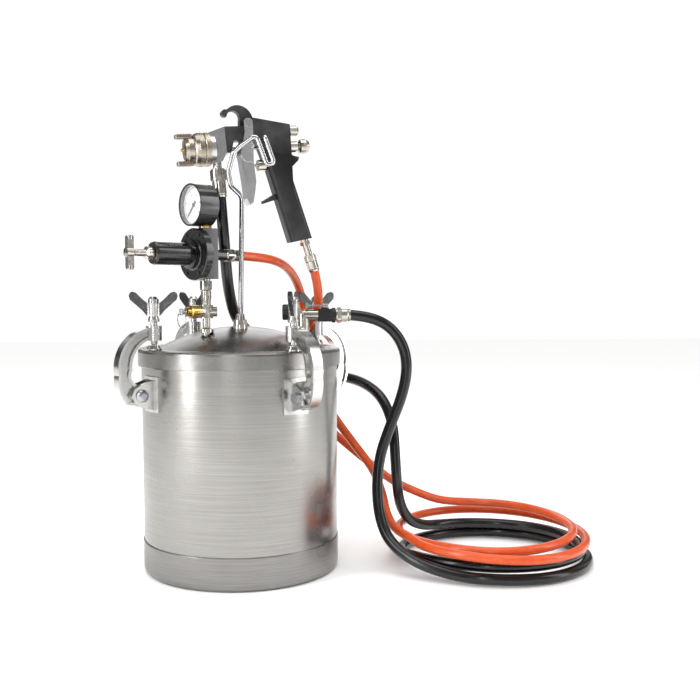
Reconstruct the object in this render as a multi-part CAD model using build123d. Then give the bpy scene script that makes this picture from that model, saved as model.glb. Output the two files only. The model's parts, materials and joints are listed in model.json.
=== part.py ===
from build123d import *
from math import atan2, cos, degrees, pi, radians, sin, sqrt, tan
import os

# Resin pressure pot with spray gun, regulator and hoses.
# Millimetres, +Z up. The origin is the centre of the pot's base on the floor,
# +X is to the right of the pot as it is used and +Y is its back.

os.makedirs("parts", exist_ok=True)

# --- driving dimensions: pot and lid
potR = 121.5            # outside radius of the pot's wall
wall = 1.5              # sheet thickness
skirtH = 40.0           # height of the welded base skirt
potTop = 266.0          # height of the pot's rim
lidR = 125.5            # outside radius of the lid's band
lidLow = 256.5          # lower edge of the band
shoulderZ = 278.0       # flat shoulder that the clamps press on
shoulderR = 100.0       # radius where the dome starts
domeTop = 304.0         # highest point of the lid
domeRho = 205.0         # radius of the dome's sphere
gasketH = 6.0

# --- driving dimensions: clamps
clampTurns = (-58.5, 31.5, 121.5, 211.5)    # compass of each clamp, degrees from +X
wingTurns = (136.0, 0.0, 10.0, 146.0)       # how far each wing screw stands turned from its clamp
pivotR, pivotZ = 140.0, 226.0               # hinge of a clamp arm
screwR = 118.0                              # distance of a clamp screw from the pot's axis
armW = 15.0                                 # width of a clamp arm
threadR = 4.0
bossLow = 289.5                             # lower end of the boss; the foot has 4 mm to rise under it
fitGap = 0.05                               # radial clearance of a running fit

# --- driving dimensions: air column on the lid
columnX, columnY = -40.0, -40.0
facing = (-0.82, -0.572, 0.0)               # the way the gauge and the regulator face
regZ = 391.0                                # height of the regulator's axis
gaugeZ = 449.0
gaugeR = 25.0

# --- driving dimensions: outlet, bleed valve and hanger
outletX, outletZ = 80.0, 317.5
bleedX, bleedY, bleedZ = 66.0, -37.0, 322.0
hangerX, hangerY = 0.5, -23.0
rodR = 3.0

# --- driving dimensions: gun, in its own frame (x to the nozzle, z up, origin at the trigger's pivot)
gunAt = (10.0, -5.0, 551.1)
gunTurn, gunDip = 16.0, 5.0                 # degrees: nozzle towards the front, nose down
axisZ = -28.6                               # height of the needle's axis
bodyHalf = 9.0                              # half width of the gun's body
gripHalf = 12.0

# --- driving dimensions: hoses
fluidR, airR = 7.0, 5.75                    # outside radii of the black and of the orange hose
# outer half axes, inner half axes, lowest and highest point, centre of each coil
blackCoil = ((135, 133), (94, 92), 0, 27, (325, -14))
orangeCoil = ((132, 152), (90, 108), 27.5, 52, (320, -8))


def turned(points, plane=Plane.XY):
    """A solid of revolution about the plane's Z from (radius, height) points."""
    outline = make_face(Polyline(*[(r, 0, h) for r, h in points], close=True))
    return plane * revolve(outline, Axis.Z, 360)


def pin(r, low, high, x=0.0, y=0.0):
    """An upright cylinder between two heights."""
    return Pos(x, y, low) * Cylinder(r, high - low, align=(Align.CENTER, Align.CENTER, Align.MIN))


def bar(start, end, r):
    """A cylinder between two points."""
    a, b = Vector(*start), Vector(*end)
    return Plane(origin=a, z_dir=b - a) * Cylinder(r, (b - a).length,
        align=(Align.CENTER, Align.CENTER, Align.MIN))


def hexagon(flats, low, high, bore=0.0):
    """A hexagonal prism along Z, with a chamfered rim and a bore if one is given."""
    body = Pos(0, 0, low) * extrude(RegularPolygon(flats / 2, 6, major_radius=False), high - low)
    body = body & pin(flats / 2 * 1.1, low, high)
    return body - pin(bore, low - 1, high + 1) if bore else body


def plate(points, half, plane=Plane.XZ):
    """A plate with a polygonal outline, as thick as twice half, centred on the plane."""
    outline = make_face(Polyline(*points, close=True))
    return plane * extrude(outline, half, both=True)


def solidOf(shape):
    """The shape's single solid, or a compound of its solids."""
    found = shape.solids()
    return found[0] if len(found) == 1 else Compound(children=found)


def save(name, shape):
    """Writes one node."""
    export_step(solidOf(shape), "parts/" + name + ".step")


def domeAt(r):
    """Height of the dome's outside at a distance from the axis."""
    return domeTop - domeRho + sqrt(domeRho ** 2 - r ** 2)


def potShell():
    """Drawn cylinder with a dished bottom and a rolled rim."""
    ri = potR - wall
    side = [(0, 5), (100, 5), (112, 7.5), (118, 14), (ri, 24), (ri, potTop - 1), (ri + 0.6, potTop)]
    out = [(potR, potTop), (potR, 22), (119, 12), (112, 5), (100, 3), (0, 3)]
    return turned(side + out)


def baseRing():
    """Skirt under the pot, rolled in at the floor."""
    r = potR + 1.0
    outer = [(potR, skirtH), (r - 0.3, skirtH), (r, skirtH - 0.6), (r, 7), (r - 1, 3), (r - 3.4, 0)]
    inner = [(r - 6, 0), (r - 5.4, 1.6), (r - 4.2, 2.4), (potR - 0.6, 7.5), (potR, 9)]
    return turned(outer + inner)


def lid():
    """Pressed lid: band round the rim, flat shoulder and a domed middle."""
    sheet = 4.0
    seat = potTop + gasketH
    middle = Pos(0, 0, domeTop - domeRho)
    dome = middle * Sphere(domeRho) & pin(shoulderR + 1, seat, domeTop + 5)
    rim = [(shoulderR - 3, seat), (shoulderR - 3, shoulderZ - 1), (shoulderR + 1, shoulderZ - 1),
        (shoulderR + 4, shoulderZ)]
    rim += [(lidR - 4, shoulderZ), (lidR - 1.5, shoulderZ - 0.9), (lidR - 0.3, shoulderZ - 2.6),
        (lidR, shoulderZ - 4.5)]
    rim += [(lidR, lidLow + 0.8), (lidR - 0.6, lidLow), (lidR - 2, lidLow), (lidR - 2, seat)]
    solid = dome - middle * Sphere(domeRho - sheet) + turned(rim)
    for x, y, r in ((columnX, columnY, 5.0), (outletX, 0, 6.0), (bleedX, bleedY, 4.0)):
        solid -= pin(r, 260, 320, x, y)
    return solid - pin(rodR, 260, 320, hangerX, hangerY)


def gasket():
    """Square-cut rubber ring between the rim and the lid."""
    return turned([(115.5, potTop), (122.5, potTop), (122.5, potTop + gasketH), (115.5, potTop + gasketH)])


def clampFrame(turn):
    """X outwards, Y along the rim, Z up."""
    return Plane(origin=(0, 0, 0), x_dir=(cos(radians(turn)), sin(radians(turn)), 0), z_dir=(0, 0, 1))


def clampBracket():
    """Curved foot and two cheeks that hold the clamp's bolt."""
    foot = (pin(potR + 2.5, 205, 247) - pin(potR, 200, 250)) & (Pos(potR, 0, 226) * Box(30, 34, 42))
    outline = [(potR + 1, 208), (potR + 1, 244), (132, 242), (141, 239), (149, 234), (153, 226), (149, 218),
               (141, 213), (132, 210)]
    lug = plate(outline, 11.5) - plate([(100, 190), (170, 190), (170, 260), (100, 260)], armW / 2 + 0.4)
    lug = lug - pin(potR + 0.8, 190, 260)
    hole = bar((pivotR, -20, pivotZ), (pivotR, 20, pivotZ), 4.0)
    return foot + lug - hole


def clampBolt():
    """Pivot bolt with a domed head and a nut."""
    plane = Plane(origin=(pivotR, 0, pivotZ), z_dir=(0, 1, 0))
    shank = turned([(0, -16), (4, -16), (4, 11.6), (7.5, 11.6), (7.5, 13.5), (6, 15.5), (3.5, 16.5),
        (0, 16.5)], plane)
    nut = plane * hexagon(13, -15.2, -11.6, 4)
    return shank + nut


def clampArm():
    """Cast C-shaped arm with a hub, a screw boss and ribbed sides."""
    with BuildSketch(Plane.XZ) as side:
        with BuildLine():
            p0, p1, p2, p3 = (124, 305.5), (166, 250), (157, 216), (146, 214.5)
            ThreePointArc(p0, (156, 288), p1)
            ThreePointArc(p1, (164.5, 230), p2)
            Line(p2, p3)
            Line(p3, (132, 226))
            Line((132, 226), (140, 238))
            ThreePointArc((140, 238), (149, 243), (149.5, 256))
            ThreePointArc((149.5, 256), (143.5, 278.5), (124, 292))
            Line((124, 292), p0)
        make_face()
    web = extrude(side.sketch, armW / 2 - 0.7, both=True)
    pocket = offset(side.sketch, -3.4)
    for s in (-1, 1):
        web -= Pos(0, s * (armW / 2 - 0.7), 0) * extrude(pocket, 2.6, both=True)
    hub = bar((pivotR, -armW / 2, pivotZ), (pivotR, armW / 2, pivotZ), 12)
    solid = web + hub + pin(9.3, bossLow, 307, screwR)
    solid -= bar((pivotR, -20, pivotZ), (pivotR, 20, pivotZ), 4 + fitGap)
    return solid - pin(threadR + fitGap, 270, 320, screwR)


def clampPad():
    """Swivel foot under the screw, with a socket for the screw's ball."""
    foot = turned([(0, 278.2), (9, 278.2), (9, 280), (7.2, 283.6), (0, 283.6)])
    return Pos(screwR, 0, 0) * (foot - Pos(0, 0, 283.4) * Sphere(3.0 + fitGap))


def wing(side):
    """One paddle of the wing screw, rising from the hub to a round tip."""
    outline = make_face(Polyline((4, 318), (4, 331), (12, 337.5), (20, 345.5), (24, 347), (27, 345.5),
        (28.3, 342),
                                 (27, 337.5), (22, 333), (13, 325), (8, 319), close=True))
    return Rot(0, 0, 90 - 90 * side) * (Plane.XZ * extrude(outline, 2.2, both=True))


def clampScrew(turn):
    """Screw with a ball end, a tapered hub and two wings."""
    body = turned([(0, 281), (2.8, 283.4), (2.8, 284.6), (threadR, 285.5), (threadR, 311), (6.8, 311.6),
        (6.8, 314),
                   (5.4, 318), (6.2, 333), (6.2, 338), (4, 341), (0, 341)])
    ball = Pos(0, 0, 283.4) * Sphere(3.0)
    return Pos(screwR, 0, 0) * Rot(0, 0, turn) * (body + ball + wing(1) + wing(-1))


# --- fittings on the lid

def hangerGland():
    """Two-tier nut that clamps the rod to the lid."""
    z = domeAt(abs(hangerY)) - 1.0
    seat = turned([(rodR, z - 1), (9, z - 1), (9, z + 5), (rodR, z + 5)])
    body = seat + hexagon(15, z + 5, z + 11,
        rodR) + turned([(rodR, z + 11), (6, z + 11), (5, z + 18), (rodR, z + 18)])
    return Pos(hangerX, hangerY, 0) * body - lid()


def sweptRod(points, radii, r):
    """A round rod or hose along straight runs joined by arcs."""
    path = FilletPolyline(*points, radius=radii)
    start = Vector(*points[0])
    section = Plane(origin=start, z_dir=Vector(*points[1]) - start) * Circle(r)
    return sweep(section, path=path)


def hangerRod():
    """Bent rod with a hairpin that carries the gun, ending in a peg in the gun's side."""
    y = hangerY
    points = [(hangerX, y, 281), (4, y, 462), (-9, y, 474), (-12, y, 491), (-6, y, 514), (2, y, 522),
        (22, y, 536),
              (35, y, 500), (43.5, y, 503), (32.5, y, 534), (32.5, -5, 534)]
    return sweptRod(points, [12, 6, 14, 8, 10, 5, 4, 4, 3.2], rodR)


def airTee():
    """Stem in the lid with a hexagonal tee body; a blind plug closes its right side."""
    z = domeAt(sqrt(columnX ** 2 + columnY ** 2))
    stem = turned([(0, z - 12), (5, z - 12), (5, z + 2), (8.5, z + 2), (8.5, z + 6), (4.6, z + 8),
        (4.6, 315), (0, 315)])
    body = hexagon(15, 315, 331) + turned([(0, 331), (5.5, 331), (5.5, 338), (0, 338)])
    plug = bar((0, 0, 323), (13, 0, 323), 6.0)
    seat = bar((0, 0, 323), (facing[0] * 12, facing[1] * 12, 323), 6.0)
    return Pos(columnX, columnY, 0) * (stem + body + plug + seat)


def safetyBody():
    """Brass relief valve that points the same way as the gauge."""
    plane = Plane(origin=(columnX + facing[0] * 12, columnY + facing[1] * 12, 323), z_dir=facing)
    body = plane * (turned([(0, 0), (7.6, 0), (7.6, 10), (5.6, 11), (5.6, 16), (0, 16)]))
    return body - plane * turned([(0, 8), (1.5 + fitGap, 8), (1.5 + fitGap, 20), (0, 20)])


def safetyPull():
    """Pull pin of the relief valve with an eye for its ring."""
    plane = Plane(origin=(columnX + facing[0] * 12, columnY + facing[1] * 12, 323), x_dir=(0, 0, 1),
        z_dir=facing)
    stem = turned([(0, 9), (1.5, 9), (1.5, 16.4), (3.0, 16.6), (3.0, 18), (1.5, 18.2), (1.5, 20), (0, 20)])
    eye = Pos(0, 0, 22.5) * (Rot(90, 0, 0) * Torus(3.0, 1.1))
    return plane * (stem + eye)


def safetyRing():
    """Split ring that hangs in the eye of the pull pin."""
    reach = 12 + 22.5
    centre = (columnX + facing[0] * reach, columnY + facing[1] * reach, 323 - 9.2)
    return Plane(origin=centre, z_dir=facing) * Torus(9.2, 0.7)


def riser():
    """Check valve, nut and nipple between the tee and the regulator."""
    lower = turned([(0, 338), (6.2, 338), (6.2, 348), (5, 349), (0, 349)])
    upper = hexagon(13, 349, 360) + turned([(0, 360), (5, 360), (5, 362), (0, 362)])
    return Pos(columnX, columnY, 0) * (lower + upper)


def columnPlane(z, direction=facing):
    """Plane on the column's axis whose Z points out along a direction."""
    return Plane(origin=(columnX, columnY, z), x_dir=(0, 0, 1), z_dir=direction)


def regulatorBody():
    """Cast body: an upright block with the rear half of the diaphragm flange."""
    block = Pos(columnX, columnY, 392) * Rot(0, 0, degrees(atan2(facing[1], facing[0]))) * Box(21, 23, 60)
    plane = columnPlane(regZ)
    flange = plane * turned([(0, 8), (30, 8), (31, 9), (31, 13.5), (0, 13.5)])
    hollow = plane * turned([(0, 5), (20, 5), (20, 14), (0, 14)])
    back = columnPlane(regZ,
        (-facing[0], -facing[1], 0)) * turned([(0, 0), (9, 0), (9, 14), (6.5, 14.5), (6.5, 27), (0, 27)])
    side = columnPlane(regZ, (facing[1], -facing[0], 0)) * turned([(0, 0), (9, 0), (9, 14), (0, 14)])
    return block + flange + back + side - hollow


def regulatorBonnet():
    """Front half of the flange with the long spring housing."""
    shape = [(22, 13.5), (31, 13.5), (31, 17.3), (30, 18.3), (17.5, 18.3), (17.5, 24), (13.5, 25),
        (13.5, 70), (12.5, 72),
             (4.5, 72), (4.5, 60), (10.5, 58), (10.5, 22), (20, 18), (20, 14.5), (22, 14.5)]
    return columnPlane(regZ) * turned(shape)


def regulatorScrews():
    """Six screw heads on the flange."""
    heads = []
    for k in range(6):
        a = radians(60 * k + 30)
        heads += (columnPlane(regZ) * Pos(26 * cos(a), 26 * sin(a), 18.9) * Cylinder(2.2, 1.2)).solids()
    return heads


def regulatorInternals():
    """Diaphragm with its plate, and the range spring drawn as its outer tube."""
    plane = columnPlane(regZ)
    diaphragm = plane * turned([(0, 13.6), (21.8, 13.6), (21.8, 14.4), (12, 14.4), (12, 16.4), (0, 16.4)])
    spring = plane * turned([(6.5, 17), (9.5, 17), (9.5, 54), (6.5, 54)])
    return Compound(children=[solidOf(diaphragm), solidOf(spring)])


def regulatorHandle():
    """Adjusting screw with a T handle."""
    shape = [(0, 56), (4.45, 56), (4.45, 72.4), (7.5, 72.8), (7.5, 80), (4.2, 82), (4.2, 96), (5.4, 98),
        (5.4, 106), (0, 107)]
    blades = Pos(0, 0, 101) * (Box(36, 6, 8) - Box(8, 8, 9))
    blades = blades + Pos(17, 0, 101) * Rot(0, 90, 0) * Cylinder(4.0, 5) + Pos(-17, 0, 101) * Rot(0, 90,
        0) * Cylinder(4.0, 5)
    return columnPlane(regZ) * (turned(shape) + blades + Pos(0, 0, 101) * Box(12, 6, 8))


def airInlet():
    """Quarter-inch quick plug for the compressor's line, on the hidden side of the regulator."""
    plane = columnPlane(regZ, (facing[1], -facing[0], 0))
    shape = [(0, 14), (8, 14), (8, 24), (4.6, 24.5), (4.6, 30), (6.0, 31), (6.0, 35), (4.6, 36),
             (4.6, 44.5), (3.6, 46), (0, 46)]
    return plane * (turned(shape) - turned([(0, 20), (2.2, 20), (2.2, 50), (0, 50)]))


def gaugeStem():
    """Brass hexagon under the gauge."""
    return Pos(columnX, columnY, 0) * (hexagon(14, 422, 426) + turned([(0, 426), (5, 426), (5, 430), (0, 430)]))


def gaugeCase():
    """Round case, open at the front, on a short square neck."""
    plane = columnPlane(gaugeZ)
    cup = turned([(0, -6), (22, -6), (25, -4), (25, 21), (23, 21), (23, 14), (0, 14)], plane)
    return cup + (pin(5.5, 422.5, 440, columnX, columnY) & pin(7, 426, 440, columnX, columnY)) - gaugeStem()


def gaugeDial():
    """White dial plate."""
    return turned([(0, 14), (22.9, 14), (22.9, 14.8), (0, 14.8)], columnPlane(gaugeZ))


def gaugePointer():
    """Pointer and its hub, resting at the zero mark."""
    hub = turned([(0, 15.2), (2.4, 15.2), (2.4, 16.8), (0, 16.8)])
    blade = make_face(Polyline((-6, -1.3), (-6, 1.3), (17, 0.5), (17, -0.5), close=True))
    blade = Pos(0, 0, 15.6) * extrude(blade, 0.7)
    return columnPlane(gaugeZ) * Rot(0, 0, 135) * (hub + blade)


def gaugeLens():
    """Flat glass with a chrome-free snap ring."""
    return turned([(0, 18.2), (22.95, 18.2), (22.95, 20.2), (0, 20.2)], columnPlane(gaugeZ))


# --- fluid outlet and bleed valve

def outletElbow():
    """Elbow that rises from the lid and turns to the right."""
    z = domeAt(outletX)
    foot = turned([(0, z - 8), (6, z - 8), (6, z + 1), (9.5, z + 1), (9.5, z + 8), (7, z + 9), (7, outletZ),
        (0, outletZ)])
    side = bar((0, 0, outletZ), (18, 0, outletZ), 7.0)
    return Pos(outletX, 0, 0) * (foot + side + Pos(0, 0, outletZ) * Sphere(7.0)) - lid()


def dipTube():
    """Pick-up tube from the lid down to just above the bottom."""
    low = 16.0
    return Pos(outletX, 0,
        0) * turned([(4, low), (5.8, low), (5.8, domeAt(outletX) - 8), (4, domeAt(outletX) - 8)])


def valveBody():
    """Ball valve body with a hexagonal end."""
    x = outletX + 18
    block = Pos(x + 9, 0, outletZ) * Box(17.6, 16, 16)
    neck = bar((x, 0, outletZ), (x + 23, 0, outletZ), 6.5)
    plane = Plane(origin=(x + 17, 0, outletZ), z_dir=(1, 0, 0))
    top = pin(5, outletZ + 8, outletZ + 10, x + 9)
    body = block + neck + plane * hexagon(17, 0.8, 5.0) + top
    return body - pin(2.0 + fitGap, outletZ + 2, outletZ + 12, x + 9)


def valveLever():
    """Short lever on the valve's stem, lying along the pipe when the valve is open."""
    x, z = outletX + 27, outletZ
    stem = pin(2.0, z + 3, z + 11.5, x)
    blade = Pos(x - 10, 0, z + 12.2) * Box(26, 9, 2.2)
    tip = Pos(x - 23, 0, z + 12.2) * Box(2.4, 12, 7)
    return stem + blade + tip + pin(4.2, z + 10.4, z + 14.6, x)


def bleedBody():
    """Small angle valve for letting the pressure out."""
    z = domeAt(sqrt(bleedX ** 2 + bleedY ** 2))
    post = turned([(0, z - 8), (4, z - 8), (4, z + 2), (6.5, z + 2), (6.5, z + 7), (3.6, z + 8),
        (3.6, bleedZ), (0, bleedZ)])
    body = Pos(bleedX, bleedY, 0) * post + Pos(bleedX + 1, bleedY, bleedZ) * Box(13, 11, 11)
    return body - bar((bleedX - 10, bleedY, bleedZ), (bleedX, bleedY, bleedZ), 2.5 + fitGap) - lid()


def bleedKnob():
    """Knurled knob on a short stem that points to the left."""
    plane = Plane(origin=(bleedX, bleedY, bleedZ), z_dir=(-1, 0, 0))
    return turned([(0, 0.5), (2.5, 0.5), (2.5, 6), (9, 6), (9.3, 6.5), (9.3, 13.5), (8.6, 14.2), (0, 14.2)],
        plane)


# --- spray gun, drawn in its own frame and then set in place

def gunFrame():
    """Frame of the gun in the pot's frame."""
    dip, turn = radians(gunDip), radians(gunTurn)
    nose = (-cos(turn) * cos(dip), -sin(turn) * cos(dip), -sin(dip))
    left = Vector(sin(turn), -cos(turn), 0)
    return Plane(origin=gunAt, x_dir=nose, z_dir=Vector(*nose).cross(left * -1) * -1)


gun = gunFrame()
needle = Plane(origin=(0, 0, axisZ), x_dir=(0, 1, 0), z_dir=(1, 0, 0))


def gunBody():
    """Cast body with its hook, grip and spurs."""
    top = [(30, -3), (8, -3), (3, -1), (-2, 3), (-6, 7), (-53.6, -2), (-53, -38), (-50, -52), (-20, -52),
        (-13, -30),
           (-9, -20), (20, -20), (24, -34), (30, -34)]
    body = plate(top, bodyHalf)
    grip = plate([(-15, -34), (-20.8, -56), (-42, -147), (-71, -143), (-51, -64), (-52, -40)], gripHalf)
    grip = fillet(grip.edges().filter_by(lambda e: e.length > 60), 6)
    with BuildSketch(Plane.XZ) as hook:
        with BuildLine():
            ThreePointArc((-8, 4), (6, 22), (24, 17.5))
            ThreePointArc((24, 17.5), (30, 11), (25, 9))
            ThreePointArc((25, 9), (14, 15.5), (9, 5))
            Line((9, 5), (10, -6))
            Line((10, -6), (-8, -4))
            Line((-8, -4), (-8, 4))
        make_face()
    spur = plate([(-48, -34), (-56, -40), (-63.5, -42), (-62, -46), (-55, -52), (-48, -58)], 6)
    finger = plate([(-34, -84), (-27, -86), (-12, -93.5), (-12, -97), (-28, -93), (-34, -93)], 5)
    solid = body + grip + extrude(hook.sketch, 4.5, both=True) + spur + finger
    solid -= needle * turned([(0, -60), (5.5, -60), (5.5, -24), (2.4, -24), (2.4, 40), (0, 40)])
    solid -= needle * turned([(0, 20), (6, 20), (6, 40), (0, 40)])
    solid -= Plane(origin=(-15, 0, -50), x_dir=(0, 1, 0), z_dir=(1, 0, 0)) * Cylinder(5.0, 44)
    solid -= bar((-50, 0, -9), (-60, 0, -9), 2.5)
    solid -= bar((-19.5, 0, -50), (0, 0, -50), 7.1)
    solid -= Plane(origin=(-62.5, 0, -144),
        z_dir=(-0.245, 0, -0.97)) * turned([(0, -8), (5, -8), (5, 2.4), (8, 2.4), (8, 12), (0, 12)])
    return gun * (solid - bar((0, -20, 0), (0, 20, 0), 3.0))


def gunHead():
    """Polished fluid head between the body and the cap."""
    head = plate([(30, -3), (50, -9.5), (50, -46), (36, -44), (30, -34)], 9)
    boss = needle * turned([(0, 36), (17, 44), (17, 50), (0, 50)])
    inlet = pin(5.5, -52, -30, 41)
    nose = needle * turned([(0, 50), (15, 50), (15, 52.5), (12, 53), (12, 70), (0, 70)])
    packing = needle * turned([(2.4, 24), (5.8, 24), (5.8, 30), (2.4, 30)])
    return gun * (head + boss + inlet + nose + packing - needle * turned([(0, 10), (2.0, 10), (2.0, 90),
        (0, 90)]))


def capRing():
    """Retaining ring that holds the air cap."""
    ring = [(15.2, 50.2), (20, 50.2), (20, 56), (19.2, 57), (20, 58), (20, 64), (18.6, 68), (17, 69.5),
        (15.2, 69.5)]
    return gun * needle * turned(ring)


def airCap():
    """Air cap with two horns."""
    body = turned([(12.4, 62), (14.8, 62), (14.8, 70), (14.8, 76), (12, 80), (6, 81), (3.2, 81), (3.2, 70.4),
        (12.4, 70.4)])
    horns = Pos(0, 16, 80) * Box(11, 6, 20) + Pos(0, -16, 80) * Box(11, 6, 20)
    return gun * needle * (body + fillet(horns.edges(), 1.6))


def fluidNozzle():
    """Nozzle screwed into the head."""
    return gun * needle * turned([(2.0, 70), (3.0, 70), (3.0, 79), (1.6, 84), (1.0, 84), (2.0, 78)])


def fluidNeedle():
    """Needle with a collar that the trigger pulls back."""
    shape = [(0, -44), (1.9, -44), (1.9, 6), (3.6, 6), (3.6, 9), (1.9, 9), (1.9, 76), (0.6, 83), (0, 83.5)]
    return gun * needle * turned(shape)


def trigger():
    """Two arms that straddle the body and a channelled blade."""
    out, inner = 11.8, bodyHalf + 0.5
    arm = plate([(-5, -4), (-5, 3), (-2, 6), (3, 6), (6, 3), (6, -10), (13, -38), (8, -44), (-2, -46),
        (-4, -20)], out)
    arm = arm - plate([(-20, -50), (20, -50), (20, 20), (-20, 20)], inner)
    blade = plate([(13, -38), (11, -64), (9.5, -90), (6.5, -98), (2, -95), (-1, -84), (-4, -70), (-3, -46),
        (2, -43)], 8.5)
    blade -= plate([(8, -46), (7, -64), (5.5, -90), (-8, -84), (-8, -44)], 5)
    bridge = plate([(12.6, -36.5), (13, -38), (8, -45), (-2, -46.5), (-1, -41), (8, -38)], out)
    body = arm + bridge + blade
    body -= needle * turned([(0, -20), (3, -20), (3, 30), (0, 30)])
    return gun * (body - bar((0, -20, 0), (0, 20, 0), 2.5 + fitGap))


def triggerPin():
    """Pin through the body and both trigger arms."""
    return gun * (bar((0, -13, 0), (0, 13, 0), 2.5) + bar((0, -14.2, 0), (0, -12.2, 0),
        4) + bar((0, 12.2, 0), (0, 14.2, 0), 4))


def airValve():
    """Air valve housing in the grip, with a bore for its stem."""
    housing = turned([(0, -36), (4.9, -36), (4.9, -19.5), (7, -19.5), (7, -10), (0, -10)])
    plane = Plane(origin=(0, 0, -50), x_dir=(0, 1, 0), z_dir=(1, 0, 0))
    return gun * plane * (housing - turned([(0, -30), (1.8 + fitGap, -30), (1.8 + fitGap, 0), (0, 0)]))


def airValveStem():
    """Stem that the trigger pushes in."""
    plane = Plane(origin=(0, 0, -50), x_dir=(0, 1, 0), z_dir=(1, 0, 0))
    return gun * plane * turned([(0, -19), (1.8, -19), (1.8, -5), (0, -5)])


def fanKnob():
    """Fan width knob."""
    plane = Plane(origin=(0, 0, -9), x_dir=(0, 1, 0), z_dir=(-1, 0, 0))
    return gun * plane * turned([(0, 50.5), (2.45, 50.5), (2.45, 54.6), (6, 55), (6.4, 56), (6.4, 64),
        (5, 66), (0, 66)])


def fluidBush():
    """Bush in the back of the body for the fluid knob."""
    shape = [(3.0, -52), (5.4, -52), (5.4, -53.6), (7, -53.6), (7, -63), (3.0, -63)]
    return gun * needle * turned(shape)


def fluidKnob():
    """Fluid knob that limits the needle's travel."""
    plane = Plane(origin=(0, 0, axisZ), x_dir=(0, 1, 0), z_dir=(-1, 0, 0))
    shape = [(0, 50.5), (2.95, 50.5), (2.95, 64), (5, 64.5), (8.7, 67), (9, 70), (9, 74), (7.5, 78),
        (4, 79.5), (0, 79.5)]
    return gun * plane * turned(shape)


def gunAirFitting():
    """Nipple screwed into the bottom of the grip."""
    plane = Plane(origin=(-62.5, 0, -144), z_dir=(-0.245, 0, -0.97))
    return gun * plane * (turned([(0, -8), (5, -8), (5, 3), (0, 3)]) + hexagon(13, 2.5,
        7) + turned([(0, 7), (4.6, 7), (4.6, 20), (0, 20)]))


# --- hose ends: a swivel nut and a crimped ferrule on each fitting

def hoseEnd(start, direction, nut, ferrule, flats, r):
    """Nut and ferrule that lie one behind the other from a start point; returns the two solids."""
    plane = Plane(origin=start, z_dir=direction)
    ring = [(0, 0), (flats / 2 - 0.6, 0), (flats / 2 - 0.6, 2), (0, 2)]
    first = plane * (hexagon(flats, 1.5, nut) + turned(ring))
    sleeve = [(0, nut), (r + 1.2, nut), (r + 1.6, nut + 0.8), (r + 1.6, ferrule - 4), (r + 1.0, ferrule - 3),
        (r + 1.4, ferrule - 2),
              (r + 1.0, ferrule), (0, ferrule)]
    return first, plane * turned(sleeve)


gripDown = gun.x_dir * -0.245 + gun.z_dir * -0.97
gunDown = gun.z_dir * -1


def hoseRun(points, r):
    """A hose along its route, with each corner as wide as its two runs allow; prints the radii."""
    radii = []
    for k in range(1, len(points) - 1):
        a = Vector(*points[k]) - Vector(*points[k - 1])
        b = Vector(*points[k + 1]) - Vector(*points[k])
        radii.append(0.45 * min(a.length, b.length) / tan(radians(a.get_angle(b)) / 2))
    path = FilletPolyline(*points, radius=radii)
    section = Plane(origin=points[0], z_dir=Vector(*points[1]) - Vector(*points[0])) * Circle(r)
    tube = sweep(section, path=path)
    print("radii", [round(v) for v in radii], "length", round(path.length), "volume ratio",
          round(tube.volume / (pi * r * r * path.length), 3))
    return tube


def ovalRing(outer, inner, low, high, centre):
    """A flat oval ring between two heights."""
    face = Ellipse(*outer) - Ellipse(*inner)
    ring = extrude(face, high - low)
    return Pos(centre[0], centre[1], low) * ring


fluidOutletRoute = [(139, 0, 317.5), (161, 0, 316), (188, -1, 305), (207, -2, 281), (213, -3, 250),
    (206, -4, 214),
                    (190, -6, 176), (176, -8, 137), (171, -17, 97), (173, -34, 60), (186, -50, 31), (206,
                        -58, 19)]
fluidGunRoute = [(-22, -14.2, 461.8), (-19.4, -12.4, 428), (-17, -3, 389), (-14, 9, 351), (-8, 30, 321),
    (-1, 60, 307),
                 (5, 92, 302), (12, 126, 290), (29, 151, 265), (63, 158, 247), (103, 145, 234), (138, 123, 230),
                 (168, 92, 224), (190, 60, 206), (201, 37, 172), (202, 26, 132), (204, 16, 92), (209, 3,
                     56), (220, -18, 24)]
airRegulatorRoute = [(2, -10.7, 391), (27, 6.7, 390), (49, 29, 386), (65, 58, 377), (77, 88, 361),
    (86, 109, 336),
                     (90, 119, 303), (91, 119, 266), (98, 111, 231), (114, 101, 197), (135, 88, 165), (158,
                         75, 134),
                     (179, 58, 106), (187, 36, 78), (188, 8, 57), (194, -23, 45), (210, -53, 41), (230, -79,
                         40)]
airGunRoute = [(95.3, 19.5, 373.3), (102, 22, 347), (99, 31, 318), (83, 50, 299), (71, 77, 294), (66, 107, 288),
               (66, 132, 268), (72, 139, 236), (84, 134, 205), (105, 124, 176), (129, 116, 150), (156, 108,
                   127),
               (184, 102, 104), (212, 97, 82), (238, 90, 60), (256, 86, 44)]


def toward(route, k=0):
    """Direction in which a route leaves its first point."""
    return (Vector(*route[k + 1]) - Vector(*route[k])).normalized()


def endsFor(route, direction, back, nut, flats, r):
    """Nut and ferrule whose far end is the route's first point."""
    start = Vector(*route[0]) - Vector(*direction) * back
    return hoseEnd(start, direction, nut, back, flats, r)


outletNut, outletFerrule = endsFor(fluidOutletRoute, (1, 0, 0), 18.0, 6.0, 18, fluidR)
rearWay = (0.82, 0.572, 0)
regNut, regFerrule = endsFor(airRegulatorRoute, rearWay, 24.0, 11.0, 15, airR)
gunAirNut, gunAirFerrule = endsFor(airGunRoute, gripDown, 22.0, 8.0, 14, airR)
gunFluidNut, gunFluidFerrule = endsFor(fluidGunRoute, gunDown, 34.0, 14.0, 18, fluidR)


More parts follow.
